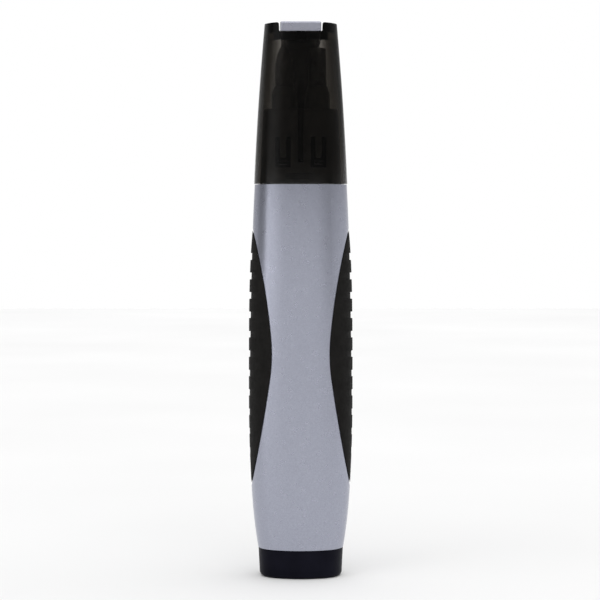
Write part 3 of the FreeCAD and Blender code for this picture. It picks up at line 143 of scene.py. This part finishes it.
def silver_paint(name, dark=(0.335, 0.348, 0.42), light=(0.39, 0.403, 0.478)):
    """Metallic paint on moulded plastic, with fine flakes."""
    paint = Shader(name, dark, 0.3, Metallic=0.8, Coat_Weight=0.12, Coat_Roughness=0.2)
    flakes = paint.cells(0.16 * MM)
    grey = paint.add("ShaderNodeRGBToBW")
    paint.link(flakes, grey.inputs["Color"])
    paint.color(grey.outputs["Val"], dark, light, 0.25, 0.8)
    paint.vary("Roughness", paint.noise(2 * MM, 2), 0.27, 0.3)
    return paint.material


def moulded_black(name, color, roughness, grain=0.12, gloss=0.5, edge=0.12):
    """Moulded dark plastic. Its grain and the radius of its rounded edges are in millimetres."""
    plastic = Shader(name, color, roughness, Specular_IOR_Level=gloss)
    plastic.soften(edge * MM)
    lighter = tuple(c * 1.5 + 0.002 for c in color)
    plastic.color(plastic.noise(6 * MM, 3), color, lighter)
    plastic.vary("Roughness", plastic.noise(1.5 * MM, 3), roughness - 0.05, roughness + 0.07)
    plastic.bump(plastic.noise(grain * MM, 2), 0.01 * MM, 0.5)
    return plastic.material


def grip_rubber(name):
    """Dull rubber with a fine matt grain."""
    rubber = Shader(name, (0.006, 0.0055, 0.005), 0.62, Specular_IOR_Level=0.12)
    rubber.soften(0.22 * MM)
    rubber.color(rubber.noise(3 * MM, 4), (0.005, 0.0046, 0.0042), (0.009, 0.0084, 0.0078))
    rubber.vary("Roughness", rubber.noise(0.8 * MM, 3), 0.58, 0.74)
    rubber.bump(rubber.noise(0.14 * MM, 2), 0.02 * MM, 0.7)
    return rubber.material


def smoked_plastic(name):
    """Clear moulded plastic that takes up light on its way through the wall, with faint rubbing marks."""
    smoked = Shader(name, (1, 1, 1), 0.06, Transmission_Weight=1.0, IOR=1.46)
    smoked.soften(0.3 * MM)
    smoked.vary("Roughness", smoked.noise(2.5 * MM, 5, 0.7), 0.03, 0.09)
    smoked.bump(smoked.noise(4 * MM, 1), 0.006 * MM, 0.3)
    tint = smoked.add("ShaderNodeVolumeAbsorption")
    tint.inputs["Color"].default_value = (0.155, 0.12, 0.07, 1)
    tint.inputs["Density"].default_value = 2000
    smoked.link(tint.outputs["Volume"], smoked.tree.nodes["Material Output"].inputs["Volume"])
    return smoked.material


def clear_plastic(name, color, roughness):
    clear = Shader(name, color, roughness, Transmission_Weight=1.0, IOR=1.52)
    clear.vary("Roughness", clear.noise(1.0 * MM, 3), roughness, roughness + 0.05)
    return clear.material


def metal(name, color, roughness, stretch=(1, 1, 1)):
    """Plated or brushed metal; stretch lengthens the brush marks along each axis."""
    plated = Shader(name, color, roughness, Metallic=1.0)
    plated.vary("Roughness", plated.noise(0.4 * MM, 3, 0.6, stretch), roughness - 0.06, roughness + 0.1)
    plated.bump(plated.noise(0.12 * MM, 2, 0.5, stretch), 0.004 * MM, 0.5)
    return plated.material


def fibre(name, dark, light, stretch=(1, 1, 8)):
    """Bonded or wound fibres that run along the pen."""
    felt = Shader(name, dark, 0.85)
    strands = felt.noise(0.12 * MM, 4, 0.6, stretch)
    felt.color(strands, dark, light)
    felt.bump(strands, 0.03 * MM, 0.8)
    return felt.material


def insulation(name, color):
    soft = Shader(name, color, 0.42)
    soft.color(soft.noise(1 * MM, 3), color, tuple(min(1, c * 1.3 + 0.004) for c in color))
    soft.bump(soft.noise(0.2 * MM, 2), 0.008 * MM, 0.4)
    return soft.material


def board_laminate(name):
    board = Shader(name, (0.02, 0.13, 0.05), 0.35)
    board.color(board.noise(0.6 * MM, 3), (0.016, 0.11, 0.04), (0.028, 0.16, 0.065))
    board.bump(board.noise(0.4 * MM, 2), 0.008 * MM, 0.5)
    return board.material


MATERIALS = {
    "silver_paint": silver_paint("silver_paint_look"),
    "clip_silver": silver_paint("clip_silver_look", (0.37, 0.378, 0.45), (0.46, 0.468, 0.54)),
    "grip_rubber": grip_rubber("grip_rubber_look"),
    "black_plastic": moulded_black("black_plastic_look", (0.012, 0.0115, 0.011), 0.34),
    "ferrule_plastic": moulded_black("ferrule_plastic_look", (0.02, 0.02, 0.021), 0.42),
    "nib_fibre": fibre("nib_fibre_look", (0.008, 0.007, 0.012), (0.03, 0.028, 0.04)),
    "reservoir_fibre": fibre("reservoir_fibre_look", (0.42, 0.36, 0.2), (0.6, 0.55, 0.38)),
    "lamp_plastic": moulded_black("lamp_plastic_look", (0.07, 0.069, 0.068), 0.3),
    "lens_clear": clear_plastic("lens_clear_look", (0.95, 0.96, 1.0), 0.03),
    "led_epoxy": clear_plastic("led_epoxy_look", (0.8, 0.76, 0.95), 0.06),
    "tinned_wire": metal("tinned_wire_look", (0.62, 0.62, 0.6), 0.3, (1, 1, 6)),
    "seal_plastic": moulded_black("seal_plastic_look", (0.11, 0.106, 0.1), 0.2),
    "smoked_plastic": smoked_plastic("smoked_plastic_look"),
    "plug_plastic": moulded_black("plug_plastic_look", (0.002, 0.002, 0.006), 0.42, gloss=0.07, edge=0.2),
    "spring_metal": metal("spring_metal_look", (0.66, 0.64, 0.6), 0.24),
    "cell_steel": metal("cell_steel_look", (0.6, 0.6, 0.6), 0.3, (6, 6, 1)),
    "red_insulation": insulation("red_insulation_look", (0.35, 0.012, 0.01)),
    "black_insulation": insulation("black_insulation_look", (0.01, 0.01, 0.01)),
    "board_green": board_laminate("board_green_look"),
    "component_black": moulded_black("component_black_look", (0.015, 0.015, 0.015), 0.5),
    "button_plastic": moulded_black("button_plastic_look", (0.012, 0.012, 0.012), 0.4),
}


# The nose block gets a paler copy of the black plastic, painted light so that its front shows lit through
# the smoked cap.
NODE_MATERIALS = {"nose_block": moulded_black("nose_block_painted_light_look", (0.11, 0.106, 0.1), 0.42)}


def paint_cad_nodes():
    """Gives each CAD node the look of its slot in the record, or its own."""
    for part in frame["record"]["subparts"]:
        obj = nodes[part["node"]]
        look = NODE_MATERIALS.get(part["node"], MATERIALS[part["material_slot"]])
        for slot in obj.material_slots:
            slot.link = "OBJECT"
            slot.material = look


paint_cad_nodes()


# ---------------------------------------------------------------- floor, light and camera


def stage_floor():
    mesh = bpy.data.meshes.new("floor")
    r = FLOOR_REACH
    mesh.from_pydata([(-r, -r, 0), (r, -r, 0), (r, r, 0), (-r, r, 0)], [], [(0, 1, 2, 3)])
    floor = bpy.data.objects.new("floor", mesh)
    bpy.context.collection.objects.link(floor)
    look = Shader("floor_look", (0.86, 0.86, 0.86), 0.9)
    look.color(look.noise(0.2, 2), (0.84, 0.84, 0.84), (0.88, 0.88, 0.88))
    mesh.materials.append(look.material)


# Brightness of the studio round the pen, by compass turn in degrees from the front, in three rings:
# low soft boxes round the horizon, a dim gap above them, and the lights overhead.
LOW_RING = [
    (-180, 0.9),
    (-130, 0.6),
    (-112, 0.4),
    (-98, 0.05),
    (-74, 0.1),
    (-54, 2.6),
    (-42, 2.6),
    (-26, 1.25),
    (0, 1.25),
    (26, 1.25),
    (38, 0.4),
    (46, 0.4),
    (58, 0.9),
    (90, 0.95),
    (180, 0.9),
]
DIM_RING = [
    (-180, 0.4),
    (-130, 0.5),
    (-112, 0.4),
    (-96, 0.15),
    (-76, 0.12),
    (-54, 0.35),
    (-40, 0.35),
    (-26, 0.12),
    (0, 0.1),
    (30, 0.1),
    (62, 0.14),
    (100, 0.25),
    (180, 0.4),
]
OVERHEAD = [
    (-180, 1.2),
    (-96, 0.8),
    (-76, 1.0),
    (-50, 1.8),
    (-26, 1.5),
    (26, 1.5),
    (46, 1.2),
    (90, 1.5),
    (180, 1.2),
]


def math_node(shader, operation, *values):
    """A Math node; each value is a number or another node's output."""
    node = shader.add("ShaderNodeMath", operation=operation)
    for socket, value in zip(node.inputs, values):
        if isinstance(value, (int, float)):
            socket.default_value = value
        else:
            shader.link(value, socket)
    return node.outputs[0]


class World:
    """Just enough of Shader to build the world with."""

    def __init__(self, world):
        self.tree = world.node_tree

    add = Shader.add
    link = Shader.link


def round_ramp(sky, part, stops):
    """A ramp of grey round the compass, from (degrees, brightness) stops."""
    ramp = sky.add("ShaderNodeValToRGB")
    ramp.color_ramp.interpolation = "EASE"
    elements = ramp.color_ramp.elements
    while len(elements) < len(stops):
        elements.new(0.5)
    for element, (degrees, bright) in zip(elements, stops):
        element.position = (degrees + 180) / 360
        element.color = (bright, bright, bright, 1)
    sky.link(part, ramp.inputs["Fac"])
    return ramp.outputs["Color"]


def blend(sky, factor, first, second):
    """A colour between two others; second may be a plain colour."""
    mix = sky.add("ShaderNodeMix", data_type="RGBA")
    sky.link(factor, mix.inputs["Factor"])
    sockets = [socket for socket in mix.inputs if socket.type == "RGBA"]
    for socket, value in zip(sockets, (first, second)):
        if isinstance(value, tuple):
            socket.default_value = value
        else:
            sky.link(value, socket)
    return [out for out in mix.outputs if out.type == "RGBA"][0]


# Each upper ring with the sines of the heights between which it takes over from the one below.
UPPER_RINGS = ((DIM_RING, 0.02, 0.1), (OVERHEAD, 0.3, 0.45))


def studio():
    """Lights the scene from all round. The camera itself sees a plain white backdrop."""
    world = bpy.data.worlds.new("studio")
    bpy.context.scene.world = world
    world.use_nodes = True
    sky = World(world)
    background = world.node_tree.nodes["Background"]
    direction = sky.add("ShaderNodeSeparateXYZ")
    sky.link(sky.add("ShaderNodeTexCoord").outputs["Generated"], direction.inputs["Vector"])
    across, along, up = direction.outputs
    turn = math_node(sky, "ARCTAN2", across, math_node(sky, "MULTIPLY", along, -1.0))
    part = math_node(sky, "ADD", math_node(sky, "DIVIDE", turn, 2 * math.pi), 0.5)
    mixed = round_ramp(sky, part, LOW_RING)
    for stops, start, end in UPPER_RINGS:
        rise = sky.add("ShaderNodeMapRange", interpolation_type="SMOOTHSTEP")
        rise.inputs["From Min"].default_value = start
        rise.inputs["From Max"].default_value = end
        sky.link(up, rise.inputs["Value"])
        mixed = blend(sky, rise.outputs["Result"], mixed, round_ramp(sky, part, stops))
    seen = sky.add("ShaderNodeLightPath").outputs["Is Camera Ray"]
    shown = blend(sky, seen, mixed, (1, 1, 1, 1))
    sky.link(shown, background.inputs["Color"])
    bpy.context.scene.view_settings.view_transform = "Standard"


def camera():
    data = bpy.data.cameras.new("camera")
    data.sensor_width = 36
    data.lens = CAMERA_LENS
    obj = bpy.data.objects.new("camera", data)
    obj.location = (CAMERA_ASIDE, -CAMERA_DISTANCE, CAMERA_HEIGHT)
    target = Vector((CAMERA_ASIDE, 0, CAMERA_AIM))
    obj.rotation_euler = (target - obj.location).to_track_quat("-Z", "Y").to_euler()
    bpy.context.collection.objects.link(obj)
    bpy.context.scene.camera = obj


stage_floor()
studio()
camera()
